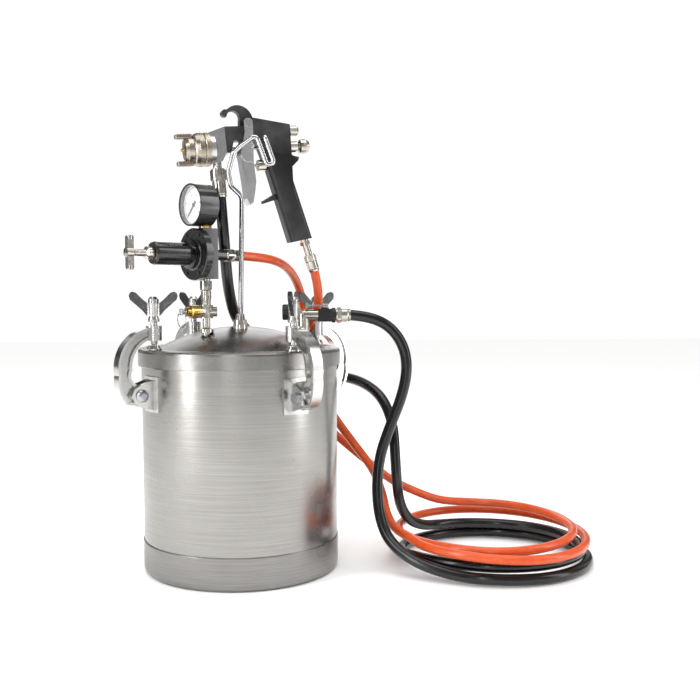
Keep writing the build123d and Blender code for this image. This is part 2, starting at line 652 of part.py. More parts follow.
# --- every piece goes to its own file
save("pot_shell", potShell())
save("base_ring", baseRing())
save("lid", lid())
save("lid_gasket", gasket())
brackets, bolts = [], []
for number, turn in enumerate(clampTurns, start=1):
    frame = clampFrame(turn)
    brackets += (frame * clampBracket()).solids()
    bolts += (frame * clampBolt()).solids()
    save(f"clamp_arm_{number}", frame * clampArm())
    save(f"clamp_pad_{number}", frame * clampPad())
    save(f"clamp_screw_{number}", frame * clampScrew(wingTurns[number - 1]))
save("clamp_brackets", Compound(children=brackets))
save("clamp_bolts", Compound(children=bolts))
save("hanger_gland", hangerGland())
save("hanger_rod", hangerRod())
save("air_tee", airTee())
save("safety_valve_body", safetyBody())
save("safety_pull", safetyPull())
save("safety_ring", safetyRing())
save("riser_nipple", riser())
save("regulator_body", regulatorBody())
save("regulator_bonnet", Compound(children=[solidOf(regulatorBonnet())] + regulatorScrews()))
save("regulator_internals", regulatorInternals())
save("regulator_handle", regulatorHandle())
save("air_inlet_plug", airInlet())
save("gauge_stem", gaugeStem())
save("gauge_case", gaugeCase())
save("gauge_dial", gaugeDial())
save("gauge_pointer", gaugePointer())
save("gauge_lens", gaugeLens())
save("outlet_elbow", outletElbow())
save("dip_tube", dipTube())
save("valve_body", valveBody())
save("valve_lever", valveLever())
save("bleed_body", bleedBody())
save("bleed_knob", bleedKnob())
save("gun_body", gunBody())
save("gun_head", gunHead())
save("cap_ring", capRing())
save("air_cap", airCap())
save("fluid_nozzle", fluidNozzle())
save("fluid_needle", fluidNeedle())
save("trigger", trigger())
save("trigger_pin", triggerPin())
save("gun_fittings", Compound(children=[solidOf(airValve()), solidOf(fluidBush()), solidOf(gunAirFitting())]))
save("air_valve_stem", airValveStem())
save("fan_knob", fanKnob())
save("fluid_knob", fluidKnob())
ends = [outletNut, outletFerrule, regNut, regFerrule, gunAirNut, gunAirFerrule, gunFluidNut, gunFluidFerrule]
save("hose_ends", Compound(children=[solidOf(piece) for piece in ends]))
save("black_hose_outlet", hoseRun(fluidOutletRoute, fluidR))
save("black_hose_gun", hoseRun(fluidGunRoute, fluidR))
save("orange_hose_regulator", hoseRun(airRegulatorRoute, airR))
save("orange_hose_gun", hoseRun(airGunRoute, airR))
save("black_hose_coil", ovalRing(*blackCoil))
save("orange_hose_coil", ovalRing(*orangeCoil))
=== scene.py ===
import bpy, bmesh, json, math, random
from mathutils import Vector, Matrix


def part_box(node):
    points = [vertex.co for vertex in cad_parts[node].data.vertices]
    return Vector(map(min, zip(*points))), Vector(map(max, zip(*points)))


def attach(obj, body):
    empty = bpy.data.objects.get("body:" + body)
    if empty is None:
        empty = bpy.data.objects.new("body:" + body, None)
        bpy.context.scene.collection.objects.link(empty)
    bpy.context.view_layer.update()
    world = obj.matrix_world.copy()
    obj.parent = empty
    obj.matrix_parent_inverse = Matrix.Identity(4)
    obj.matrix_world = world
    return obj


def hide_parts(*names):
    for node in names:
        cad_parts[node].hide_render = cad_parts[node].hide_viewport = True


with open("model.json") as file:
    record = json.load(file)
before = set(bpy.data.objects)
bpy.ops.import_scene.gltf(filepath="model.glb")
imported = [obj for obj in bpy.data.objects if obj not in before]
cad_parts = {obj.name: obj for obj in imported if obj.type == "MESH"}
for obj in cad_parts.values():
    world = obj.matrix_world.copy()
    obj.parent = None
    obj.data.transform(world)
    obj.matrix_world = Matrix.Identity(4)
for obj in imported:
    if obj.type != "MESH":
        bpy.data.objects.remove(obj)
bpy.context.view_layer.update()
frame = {"nodes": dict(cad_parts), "record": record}
mm = 0.001

print("stage: camera, floor and lights")

room = {
    "floorHex": "FAFAF9",
    "cameraPlace": (0.0, -1.2065, 0.3435),
    "cameraTurn": 6.57,        # degrees to the right
    "cameraDip": 5.12,         # degrees down
    "lensMm": 49.13,
    "shiftY": 0.043,
    "roomLight": 1.07,
    "bandDark": 0.02,
    "bandLight": 0.62,
    "exposure": 0.0,
}


def linear(hexCode):
    parts = [int(hexCode[k:k + 2], 16) / 255 for k in (0, 2, 4)]
    return tuple(c / 12.92 if c <= 0.04045 else ((c + 0.055) / 1.055) ** 2.4 for c in parts) + (1.0,)


def addNode(tree, kind, settings=None, links=None):
    new = tree.nodes.new(kind)
    for key, value in (settings or {}).items():
        if isinstance(key, str) and hasattr(new, key):
            setattr(new, key, value)
        else:
            new.inputs[key].default_value = value
    for key, source in (links or {}).items():
        tree.links.new(source, new.inputs[key])
    return new


def softBox(name, place, target, size, power):
    lamp = bpy.data.lights.new(name, "AREA")
    lamp.shape = "RECTANGLE"
    lamp.size, lamp.size_y = size
    lamp.energy = power
    obj = bpy.data.objects.new(name, lamp)
    bpy.context.collection.objects.link(obj)
    obj.location = place
    obj.rotation_euler = (Vector(target) - Vector(place)).to_track_quat("-Z", "Y").to_euler()
    return obj


def makeCamera():
    data = bpy.data.cameras.new("studioCamera")
    data.lens = room["lensMm"]
    data.sensor_width = 36
    data.shift_y = room["shiftY"]
    obj = bpy.data.objects.new("studioCamera", data)
    bpy.context.collection.objects.link(obj)
    obj.location = room["cameraPlace"]
    obj.rotation_euler = (math.radians(90 - room["cameraDip"]), 0, math.radians(-room["cameraTurn"]))
    bpy.context.scene.camera = obj


def makeWorld():
    world = bpy.data.worlds.new("studioWorld")
    bpy.context.scene.world = world
    world.use_nodes = True
    tree = world.node_tree
    back = tree.nodes["Background"]
    back.inputs["Color"].default_value = linear("FFFFFF")
    path = addNode(tree, "ShaderNodeLightPath")
    seen = addNode(tree, "ShaderNodeMath", {"operation": "MAXIMUM"},
                   {0: path.outputs["Is Camera Ray"], 1: path.outputs["Is Diffuse Ray"]})
    # what the metal mirrors: a room of light and dark upright bands
    way = addNode(tree, "ShaderNodeSeparateXYZ", None, {0: addNode(tree,
                                                                   "ShaderNodeTexCoord").outputs["Generated"]})
    compass = addNode(tree, "ShaderNodeMath", {"operation": "ARCTAN2"},
                      {0: way.outputs["Y"], 1: way.outputs["X"]})
    along = addNode(tree, "ShaderNodeCombineXYZ", None, {"X": compass.outputs["Value"]})
    bands = addNode(tree, "ShaderNodeTexNoise", {"Scale": 2.6, "Detail": 2.0, "Roughness": 0.6},
                    {"Vector": along.outputs["Vector"]})
    mirrored = addNode(tree, "ShaderNodeMapRange", {"From Min": 0.42, "From Max": 0.6,
                                                    "To Min": room["bandDark"],
                       "To Max": room["bandLight"]}, {"Value": bands.outputs["Fac"]})
    bright = addNode(tree, "ShaderNodeMix", {"data_type": "FLOAT", 3: room["roomLight"]},
                     {0: seen.outputs["Value"], 2: mirrored.outputs["Result"]})
    tree.links.new(bright.outputs[0], back.inputs["Strength"])


def makeFloor():
    mesh = bpy.data.meshes.new("studioFloor")
    work = bmesh.new()
    bmesh.ops.create_grid(work, x_segments=1, y_segments=1, size=6)
    work.to_mesh(mesh)
    floor = bpy.data.objects.new("studioFloor", mesh)
    bpy.context.collection.objects.link(floor)
    floor.location.z = -0.0006
    mat = bpy.data.materials.new("matte paper floor")
    mat.use_nodes = True
    shader = mat.node_tree.nodes["Principled BSDF"]
    shader.inputs["Base Color"].default_value = linear(room["floorHex"])
    shader.inputs["Roughness"].default_value = 0.9
    shader.inputs["Specular IOR Level"].default_value = 0.0
    mesh.materials.append(mat)


def makeLook():
    # plain colours straight from the sheet, as in a catalogue picture
    view = bpy.context.scene.view_settings
    view.view_transform = "Standard"
    view.exposure = room["exposure"]


makeCamera()
makeLook()
makeWorld()
makeFloor()
softBox("leftStrip", (-1.25, -0.75, 0.75), (0, 0, 0.25), (0.35, 1.5), 12)
softBox("rightStrip", (1.35, -0.45, 0.7), (0, 0, 0.25), (0.3, 1.5), 5.5)
softBox("frontStrip", (-0.35, -1.7, 0.8), (0, 0, 0.25), (0.16, 1.3), 4)
softBox("topBox", (0.1, -0.1, 1.6), (0.1, 0, 0.2), (1.3, 1.0), 8)
softBox("backBox", (0.2, 1.5, 1.0), (0.1, 0, 0.2), (1.8, 1.0), 7)

print("stage: hoses")

hoses = {
    "fluidDiameter": 0.014,
    "airDiameter": 0.0115,
    "fluidExit": (0.139, 0.0, 0.3175),
    "airExit": (0.002, -0.0107, 0.391),
    "ringPoints": 16,          # points in each turn of a coil
}

# Routes in millimetres; the last points of the first list and the last of the second meet the coil.
fluidOutletRoute = [(139, 0, 317.5), (161, 0, 316), (188, -1, 305), (207, -2, 281), (213, -3, 250),
                    (206, -4, 214),
                    (190, -6, 176), (176, -8, 137), (171, -17, 97), (173, -34, 60), (186, -50, 31)]
fluidGunRoute = [(-22, -14.2, 461.8), (-19.4, -12.4, 428), (-17, -3, 389), (-14, 9, 351), (-8, 30, 321),
                 (-1, 60, 307),
                 (5, 92, 302), (12, 126, 290), (29, 151, 265), (63, 158, 247), (103, 145, 234),
                 (138, 123, 230),
                 (168, 92, 224), (190, 60, 206), (201, 37, 172), (202, 26, 132), (204, 22, 92), (208, -4, 60)]
airRegulatorRoute = [(2, -10.7, 391), (27, 6.7, 390), (49, 29, 386), (65, 58, 377), (77, 88, 361),
                     (86, 109, 336),
                     (90, 119, 303), (91, 119, 266), (98, 111, 231), (114, 101, 197), (135, 88, 165),
                     (158, 75, 134),
                     (179, 58, 106), (187, 36, 78), (188, 8, 57), (194, -23, 45), (210, -53, 41)]
airGunRoute = [(95.3, 19.5, 373.3), (102, 22, 347), (99, 31, 318), (83, 50, 299), (71, 77, 294),
               (66, 107, 288),
               (66, 132, 268), (72, 139, 236), (84, 134, 205), (105, 124, 176), (129, 116, 150),
               (156, 108, 127),
               (184, 102, 104), (212, 97, 82), (238, 90, 62)]


def coilTurns(centre, keys, count):
    # keys: compass in degrees, half axes and height there; the hose passes smoothly from one to the next
    points = []
    steps = int(round((keys[-1][0] - keys[0][0]) / 360 * count))
    for k in range(steps + 1):
        angle = keys[0][0] + (keys[-1][0] - keys[0][0]) * k / steps
        low = max(i for i in range(len(keys) - 1) if keys[i][0] <= angle + 0.001)
        part = (angle - keys[low][0]) / (keys[low + 1][0] - keys[low][0])
        part = part * part * (3 - 2 * part)
        halfX, halfY, height = [keys[low][i] * (1 - part) + keys[low + 1][i] * part for i in (1, 2, 3)]
        a = math.radians(angle)
        points.append((centre[0] + halfX * math.cos(a), centre[1] + halfY * math.sin(a), height))
    return points


def hoseCurve(name, points, diameter):
    curve = bpy.data.curves.new(name, "CURVE")
    curve.dimensions = "3D"
    curve.bevel_depth = 1.0
    curve.bevel_resolution = 6
    curve.resolution_u = 8
    line = curve.splines.new("NURBS")
    line.points.add(len(points) - 1)
    for point, place in zip(line.points, points):
        point.co = (*(c * mm for c in place), 1)
        point.radius = diameter / 2       # times a bevel depth of 1, so that the object's bounds stay true
    line.order_u = 3
    line.use_endpoint_u = True
    obj = bpy.data.objects.new(name, curve)
    bpy.context.collection.objects.link(obj)
    return obj


def curveLength(obj):
    plain = obj.data.copy()
    plain.bevel_depth = 0
    probe = bpy.data.objects.new("probe", plain)
    bpy.context.collection.objects.link(probe)
    mesh = bpy.data.meshes.new_from_object(probe)
    spots = [v.co.copy() for v in mesh.vertices]
    bpy.data.objects.remove(probe)
    bpy.data.curves.remove(plain)
    return sum((b - a).length for a, b in zip(spots, spots[1:]))


def makeHoses():
    count = hoses["ringPoints"]
    blackKeys = [(238, 127, 122, 9), (290, 127, 123, 7.2), (500, 121, 118, 7.2), (590, 111, 108, 19.5),
                 (680, 117, 114, 20.5), (800, 114, 112, 20.5), (838, 114, 112, 23)]
    blackIn = [(184, -56, 34), (211, -88, 18)]
    blackOut = [(249, 66, 27), (226, 48, 38), (210, 31, 62)]
    black = hoseCurve("blackFluidHose",
                      fluidOutletRoute[:-1] + blackIn + coilTurns((322, -14), blackKeys, count)
                      + blackOut + fluidGunRoute[:-1][::-1], hoses["fluidDiameter"])
    orangeKeys = [(212, 119, 128, 36), (300, 125, 143, 33.5), (500, 122, 139, 33.5), (600, 105, 121, 39),
                  (700, 108, 124, 44), (806, 108, 124, 47)]
    orangeOut = [(288, 113, 50), (262, 108, 58)]
    orange = hoseCurve("orangeAirHose", airRegulatorRoute + coilTurns((320, -8), orangeKeys, count)
                       + orangeOut + airGunRoute[:-1][::-1], hoses["airDiameter"])
    for obj, nodes, place, diameter in (
            (black, ("black_hose_outlet", "black_hose_gun", "black_hose_coil"), "fluidExit", "fluidDiameter"),
            (orange, ("orange_hose_regulator", "orange_hose_gun", "orange_hose_coil"), "airExit",
             "airDiameter")):
        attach(obj, "root")
        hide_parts(*nodes)
        long = round(curveLength(obj), 2)
        print(obj.name, long, "m")
    return black, orange


blackHose, orangeHose = makeHoses()

print("stage: materials")


def surface(name, look):
    # one finish: two tones blended by a grain, a slower blotch in the roughness, a fine relief, worn edges
    mat = bpy.data.materials.new(name)
    mat.use_nodes = True
    tree = mat.node_tree
    shader = tree.nodes["Principled BSDF"]
    place = addNode(tree, "ShaderNodeTexCoord").outputs["Object"]
    scale = [1 / (mm * size) for size in look["grainMm"]]
    along = addNode(tree, "ShaderNodeMapping", {"Scale": scale}, {"Vector": place})
    grain = addNode(tree, "ShaderNodeTexNoise", {"Scale": 1.0, "Detail": 4.0, "Roughness": 0.6},
                    {"Vector": along.outputs["Vector"]})
    blotch = addNode(tree, "ShaderNodeTexNoise", {"Scale": 1 / (mm * look["blotchMm"]), "Detail": 3.0},
                     {"Vector": place})
    ramp = addNode(tree, "ShaderNodeMapRange", {"From Min": 0.3, "From Max": 0.7},
                   {"Value": grain.outputs["Fac"]})
    tone = addNode(tree, "ShaderNodeMix", {"data_type": "RGBA", 6: linear(look["hex"]),
                                           7: linear(look["darkHex"])},
                   {"Factor": ramp.outputs["Result"]})
    colour = tone.outputs[2]
    if "wornHex" in look:
        edge = addNode(tree, "ShaderNodeNewGeometry").outputs["Pointiness"]
        worn = addNode(tree, "ShaderNodeMapRange", {"From Min": 0.53, "From Max": 0.6,
                                                    "To Max": look["wear"]},
                       {"Value": edge})
        broken = addNode(tree, "ShaderNodeMath", {"operation": "MULTIPLY"},
                         {0: worn.outputs["Result"], 1: blotch.outputs["Fac"]})
        mixed = addNode(tree, "ShaderNodeMix", {"data_type": "RGBA", 7: linear(look["wornHex"])},
                        {"Factor": broken.outputs["Value"], 6: colour})
        colour = mixed.outputs[2]
    tree.links.new(colour, shader.inputs["Base Color"])
    rough = addNode(tree, "ShaderNodeMapRange", {"From Min": 0.3, "From Max": 0.7, "To Min": look["rough"][0],
                    "To Max": look["rough"][1]}, {"Value": blotch.outputs["Fac"]})
    tree.links.new(rough.outputs["Result"], shader.inputs["Roughness"])
    relief = addNode(tree, "ShaderNodeBump", {"Strength": 1.0, "Distance": look["reliefMm"] * mm},
                     {"Height": grain.outputs["Fac"]})
    tree.links.new(relief.outputs["Normal"], shader.inputs["Normal"])
    shader.inputs["Metallic"].default_value = look.get("metal", 0.0)
    shader.inputs["Anisotropic"].default_value = look.get("brushed", 0.0)
    shader.inputs["Coat Weight"].default_value = look.get("coat", 0.0)
    shader.inputs["Coat Roughness"].default_value = 0.08
    if "ior" in look:
        shader.inputs["IOR"].default_value = look["ior"]
    return mat


def spun(mat, pitchMm, reliefMm, centre=(0, 0)):
    # turning marks in rings about an upright axis, added to a finish
    tree = mat.node_tree
    shader = tree.nodes["Principled BSDF"]
    place = addNode(tree, "ShaderNodeTexCoord").outputs["Object"]
    moved = addNode(tree, "ShaderNodeMapping", {"Location": (-centre[0], -centre[1], 0), "Scale": (1, 1, 0)},
                    {"Vector": place})
    reach = addNode(tree, "ShaderNodeVectorMath", {"operation": "LENGTH"}, {0: moved.outputs["Vector"]})
    ring = addNode(tree, "ShaderNodeCombineXYZ", None, {"X": reach.outputs["Value"]})
    lines = addNode(tree, "ShaderNodeTexNoise", {"Scale": 1 / (mm * pitchMm), "Detail": 2.0},
                    {"Vector": ring.outputs["Vector"]})
    bump = addNode(tree, "ShaderNodeBump", {"Strength": 1.0, "Distance": reliefMm * mm},
                   {"Height": lines.outputs["Fac"], "Normal": shader.inputs["Normal"].links[0].from_socket})
    tree.links.new(bump.outputs["Normal"], shader.inputs["Normal"])
    return mat


looks = {
    # drawn 304 stainless sheet, belt-brushed round the wall: soft tall reflections, fine level lines
    # the lines are drawn about three times as coarse as a real belt's, so that they show
    "pot_steel": ("brushed stainless sheet", {"hex": "A8A6A3", "darkHex": "94928F",
                                              "grainMm": (90, 90, 0.8), "blotchMm": 55,
                  "rough": (0.2, 0.3), "reliefMm": 0.006, "metal": 1.0, "brushed": 0.55}),
    # the same sheet, rolled and spot-ground: greyer and a little rougher
    "skirt_steel": ("ground stainless strip", {"hex": "9C9A98", "darkHex": "868482",
                                               "grainMm": (50, 50, 0.7), "blotchMm": 30,
                    "rough": (0.26, 0.38), "reliefMm": 0.008, "metal": 1.0, "brushed": 0.5}),
    # spun stainless: rings about the middle, cloudy where it was pressed
    "lid_steel": ("spun stainless lid", {"hex": "9B9997", "darkHex": "8B8987", "grainMm": (24, 24, 24),
                                         "blotchMm": 35,
                  "rough": (0.22, 0.34), "reliefMm": 0.004, "metal": 1.0, "brushed": 0.35}),
    # black nitrile: dull, slightly dusty
    "gasket_rubber": ("nitrile rubber", {"hex": "191919", "darkHex": "262524", "grainMm": (1.2, 1.2, 1.2),
                                         "blotchMm": 12,
                      "rough": (0.65, 0.85), "reliefMm": 0.05, "ior": 1.52}),
    # gravity-cast aluminium, tumbled bright: pebbled skin with soft shine
    "cast_clamp": ("tumbled cast aluminium", {"hex": "CBCAC8", "darkHex": "B6B5B3",
                                              "grainMm": (1.8, 1.8, 1.8), "blotchMm": 12,
                   "rough": (0.16, 0.26), "reliefMm": 0.035, "metal": 1.0, "wornHex": "EDECE9", "wear": 0.8}),
    # zinc-plated steel: bluish, even
    "steel_fastener": ("zinc-plated steel", {"hex": "C2C4C8", "darkHex": "9FA2A8",
                                             "grainMm": (0.9, 0.9, 0.9), "blotchMm": 6,
                       "rough": (0.22, 0.36), "reliefMm": 0.02, "metal": 1.0, "wornHex": "E6E6E6",
                       "wear": 0.6}),
    # chromed rod: mirror with faint draw lines along it
    "rod_chrome": ("chromed rod", {"hex": "D9D9DA", "darkHex": "C2C2C4", "grainMm": (0.6, 0.6, 14),
                                   "blotchMm": 18,
                   "rough": (0.08, 0.16), "reliefMm": 0.006, "metal": 1.0}),
    # nickel-plated brass turnings: warm white, tool lines
    "nickel_fitting": ("nickel-plated turning", {"hex": "D0CCC4", "darkHex": "B2ADA4",
                                                 "grainMm": (2.2, 2.2, 0.5), "blotchMm": 7,
                       "rough": (0.12, 0.25), "reliefMm": 0.014, "metal": 1.0, "wornHex": "E9E4DA",
                       "wear": 0.6}),
    # turned brass, slightly tarnished
    "brass": ("turned brass", {"hex": "D9B465", "darkHex": "A9823C", "grainMm": (2.0, 2.0, 0.5),
                               "blotchMm": 6,
              "rough": (0.16, 0.32), "reliefMm": 0.014, "metal": 1.0, "wornHex": "EFD490", "wear": 0.5}),
    # drawn steel wire, polished
    "ring_steel": ("polished steel wire", {"hex": "D6D6D6", "darkHex": "B9B9B9",
                                           "grainMm": (0.8, 0.8, 0.8), "blotchMm": 5,
                   "rough": (0.1, 0.2), "reliefMm": 0.008, "metal": 1.0}),
    # baked black enamel on a die casting: deep gloss with orange peel
    "black_enamel": ("black baked enamel", {"hex": "08080A", "darkHex": "101011",
                                            "grainMm": (1.8, 1.8, 1.8), "blotchMm": 14,
                     "rough": (0.16, 0.28), "reliefMm": 0.03, "coat": 0.6, "ior": 1.5,
                     "wornHex": "4A4A4B", "wear": 0.35}),
    "internals": ("plain spring steel", {"hex": "A5A5A5", "darkHex": "8A8A8A", "grainMm": (1, 1, 1),
                                         "blotchMm": 6,
                  "rough": (0.3, 0.45), "reliefMm": 0.02, "metal": 1.0}),
    # printed dial card: matt white with a faint tooth
    "dial_white": ("printed dial plate", {"hex": "F3F2EE", "darkHex": "ECEAE4",
                                          "grainMm": (0.5, 0.5, 0.5), "blotchMm": 8,
                   "rough": (0.4, 0.5), "reliefMm": 0.006, "ior": 1.5}),
    "pointer_black": ("black pointer lacquer", {"hex": "101010", "darkHex": "1A1A1A",
                                                "grainMm": (0.6, 0.6, 0.6), "blotchMm": 3,
                      "rough": (0.3, 0.42), "reliefMm": 0.006, "ior": 1.5}),
    # moulded nylon: fine spark-eroded texture
    "black_plastic": ("moulded black nylon", {"hex": "141414", "darkHex": "1D1D1D",
                                              "grainMm": (0.7, 0.7, 0.7), "blotchMm": 6,
                      "rough": (0.38, 0.5), "reliefMm": 0.04, "ior": 1.53, "wornHex": "333333", "wear": 0.5}),
    # satin black powder coat on a forged body: fine pebble, greyed on its edges
    "gun_black": ("satin black powder coat", {"hex": "08080A", "darkHex": "101011",
                                              "grainMm": (1.0, 1.0, 1.0), "blotchMm": 16,
                  "rough": (0.3, 0.42), "reliefMm": 0.03, "coat": 0.1, "ior": 1.42, "wornHex": "5A5A5C",
                  "wear": 0.5}),
    # polished aluminium forging with fine buffing lines
    "head_aluminium": ("buffed aluminium forging", {"hex": "CFCFD0", "darkHex": "BEBEC0",
                                                    "grainMm": (6, 6, 0.7), "blotchMm": 12,
                       "rough": (0.14, 0.3), "reliefMm": 0.02, "metal": 1.0, "wornHex": "F0F0F0",
                       "wear": 0.6}),
    # brushed nickel: warm and a little darker
    "warm_nickel": ("brushed warm nickel", {"hex": "BDB3A6", "darkHex": "94897C", "grainMm": (3, 3, 0.6),
                                            "blotchMm": 6,
                    "rough": (0.2, 0.34), "reliefMm": 0.016, "metal": 1.0, "wornHex": "DDD3C6", "wear": 0.7}),
    # extruded gloss PVC hose: slow ripple along it, mould bloom
    "black_hose": ("gloss black hose", {"hex": "060607", "darkHex": "0C0C0D", "grainMm": (9, 9, 9),
                                        "blotchMm": 40,
                   "rough": (0.22, 0.34), "reliefMm": 0.06, "coat": 0.25, "ior": 1.48}),
    "orange_hose": ("gloss orange hose", {"hex": "D2521A", "darkHex": "C24412", "grainMm": (9, 9, 9),
                                          "blotchMm": 40,
                    "rough": (0.26, 0.38), "reliefMm": 0.06, "coat": 0.25, "ior": 1.46}),
}


# the wings turn a darker grey and less metallic between these two radii from the screw's axis
wingTone = {"hubMm": 6.6, "darkWingMm": 7.6, "hex": "3A3A3C",
             "metal": 0.55}     # reach from the screw's axis


def wingScrewMaterial(name, centre):
    # plated screw whose two wings are a darker, less metallic grey beyond 7.6 mm from its axis; the hub keeps
    # the plated colour
    mat = surface(name, {"hex": "D6D5D2", "darkHex": "B4B2AE", "grainMm": (1.2, 1.2, 1.2), "blotchMm": 6,
                         "rough": (0.18, 0.32), "reliefMm": 0.03, "metal": 1.0, "wornHex": "ECEBE8",
                         "wear": 0.6})
    tree = mat.node_tree
    shader = tree.nodes["Principled BSDF"]
    place = addNode(tree, "ShaderNodeTexCoord").outputs["Object"]
    moved = addNode(tree, "ShaderNodeMapping", {"Location": (-centre[0], -centre[1], 0), "Scale": (1, 1, 0)},
                    {"Vector": place})
    reach = addNode(tree, "ShaderNodeVectorMath", {"operation": "LENGTH"}, {0: moved.outputs["Vector"]})
    wingFactor = addNode(tree, "ShaderNodeMapRange", {"From Min": wingTone["hubMm"] * mm,
                                                   "From Max": wingTone["darkWingMm"] * mm},
                      {"Value": reach.outputs["Value"]})
    plated = shader.inputs["Base Color"].links[0].from_socket
    mixed = addNode(tree, "ShaderNodeMix", {"data_type": "RGBA", 7: linear(wingTone["hex"])},
                    {"Factor": wingFactor.outputs["Result"], 6: plated})
    tree.links.new(mixed.outputs[2], shader.inputs["Base Color"])
    wingMetal = addNode(tree, "ShaderNodeMapRange", {"From Min": wingTone["hubMm"] * mm,
                                                "From Max": wingTone["darkWingMm"] * mm, "To Min": 1.0,
                                                "To Max": wingTone["metal"]},
                   {"Value": reach.outputs["Value"]})
    tree.links.new(wingMetal.outputs["Result"], shader.inputs["Metallic"])
    return mat


def lensMaterial():
    # thin clear glass: mostly a faint reflection
    mat = bpy.data.materials.new("clear gauge glass")
    mat.use_nodes = True
    tree = mat.node_tree
    shader = tree.nodes["Principled BSDF"]
    shader.inputs["Base Color"].default_value = linear("F4F8F8")
    shader.inputs["IOR"].default_value = 1.5
    shader.inputs["Alpha"].default_value = 0.12
    place = addNode(tree, "ShaderNodeTexCoord").outputs["Object"]
    haze = addNode(tree, "ShaderNodeTexNoise", {"Scale": 1 / (6 * mm), "Detail": 3.0}, {"Vector": place})
    rough = addNode(tree, "ShaderNodeMapRange", {"To Min": 0.03, "To Max": 0.09},
                    {"Value": haze.outputs["Fac"]})
    tree.links.new(rough.outputs["Result"], shader.inputs["Roughness"])
    return mat


finish = {slotName: surface(*entry) for slotName, entry in looks.items()}
finish["lens_glass"] = lensMaterial()
finish["clamp_screw"] = finish["nickel_fitting"]
spun(finish["lid_steel"], 1.1, 0.02)


def nodeCentre(name):
    low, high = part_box(name)
    return [(a + b) / 2 for a, b in zip(low, high)]


def dressFrame():
    # every CAD piece takes the finish of its slot; each wing screw has its own, centred on its axis
    for entry in frame["record"]["subparts"]:
        name, slotName = entry["node"], entry["material_slot"]
        obj = frame["nodes"][name]
        mat = finish[slotName]
        if name.startswith("clamp_screw"):
            mat = wingScrewMaterial("two-tone " + name, nodeCentre(name))
        for holder in obj.material_slots:
            holder.material = mat


dressFrame()
blackHose.data.materials.append(finish["black_hose"])
orangeHose.data.materials.append(finish["orange_hose"])

print("stage: edges of the castings")

edgeRound = {        # millimetres
    "gun_body": 1.4, "gun_head": 0.9, "trigger": 1.0, "air_cap": 0.5, "valve_body": 0.9,
    "regulator_body": 1.2,
    "clamp_brackets": 0.9, "clamp_arm_1": 1.1, "clamp_arm_2": 1.1, "clamp_arm_3": 1.1, "clamp_arm_4": 1.1,
    "valve_lever": 0.5, "bleed_body": 0.8, "regulator_handle": 0.9,
    "clamp_screw_1": 0.8, "clamp_screw_2": 0.8, "clamp_screw_3": 0.8, "clamp_screw_4": 0.8,
}


def roundEdges():
    for name, width in edgeRound.items():
        bevel = frame["nodes"][name].modifiers.new("roundEdge", "BEVEL")
        bevel.width = width * mm
        bevel.segments = 3
        bevel.limit_method = "ANGLE"
        bevel.angle_limit = math.radians(38)
        bevel.harden_normals = True
        bevel.use_clamp_overlap = True


roundEdges()

print("stage: knurls, welds and dial")


def meshPiece(name, work, mat, body, smooth=True):
    mesh = bpy.data.meshes.new(name)
    bmesh.ops.recalc_face_normals(work, faces=work.faces)
    work.to_mesh(mesh)
    work.free()
    for face in mesh.polygons:
        face.use_smooth = smooth
    obj = bpy.data.objects.new(name, mesh)
    bpy.context.collection.objects.link(obj)
    mesh.materials.append(mat)
    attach(obj, body)
    return obj


def axisFrame(origin, along):
    # a matrix whose Z is along and whose origin is in metres
    turn = Vector(along).to_track_quat("Z", "Y").to_matrix().to_4x4()
    return Matrix.Translation(Vector(origin)) @ turn


def addRib(work, place, size, lean=0.0):
    # one raised tooth with a narrow top, in its own box frame
    wide, deep, long = (s / 2 for s in size)
    spots = []
    for z in (-long, long):
        shift = lean * z
        spots += [(-wide + shift, -deep, z), (wide + shift, -deep, z), (wide * 0.35 + shift, deep, z * 0.94),
                  (-wide * 0.35 + shift, deep, z * 0.94)]
    verts = [work.verts.new(place @ Vector(s)) for s in spots]
    for face in ((0, 1, 2, 3), (7, 6, 5, 4), (0, 4, 5, 1), (1, 5, 6, 2), (2, 6, 7, 3), (3, 7, 4, 0)):
        work.faces.new([verts[i] for i in face])


def knurl(name, origin, along, radius, length, pitch, depth, lean, body, slotName):
    work = bmesh.new()
    count = int(2 * math.pi * radius / pitch)
    base = axisFrame(origin, along)
    for k in range(count):
        a = 2 * math.pi * k / count
        spin = Matrix.Rotation(a - math.pi / 2, 4, "Z")
        out = Matrix.Translation((radius * math.cos(a), radius * math.sin(a), 0))
        addRib(work, base @ out @ spin, (pitch * 0.75, depth, length), lean)
    return meshPiece(name, work, finish[slotName], body, smooth=False)


gunPlace = {
    "origin": (10.0, -5.0, 551.1),
    "turn": 16.0,          # degrees, nozzle towards the front
    "dip": 5.0,            # degrees, nose down
    "needle": -28.6,       # height of the needle's axis under the trigger's pivot
}


def gunAxes():
    turn, dip = math.radians(gunPlace["turn"]), math.radians(gunPlace["dip"])
    nose = Vector((-math.cos(turn) * math.cos(dip), -math.sin(turn) * math.cos(dip), -math.sin(dip)))
    side = Vector((math.sin(turn), -math.cos(turn), 0))
    return nose, side, nose.cross(side)


def onGun(x, y, z):
    nose, side, up = gunAxes()
    return (Vector(gunPlace["origin"]) + nose * x + side * y + up * z) * mm


knurls = {        # millimetres: place along the gun, height, radius, length, pitch, depth; then body and finish
    "capRingKnurl": (60.9, gunPlace["needle"], 20.0, 5.4, 1.7, 0.5, "root", "warm_nickel"),
    "capRingRearKnurl": (53.2, gunPlace["needle"], 20.0, 4.6, 1.7, 0.5, "root", "warm_nickel"),
    "fluidKnobKnurl": (-72, gunPlace["needle"], 8.95, 3.6, 1.3, 0.5, "fluid_knob", "nickel_fitting"),
    "fanKnobKnurl": (-60, -9, 6.35, 7.0, 1.2, 0.4, "fan_knob", "nickel_fitting"),
}


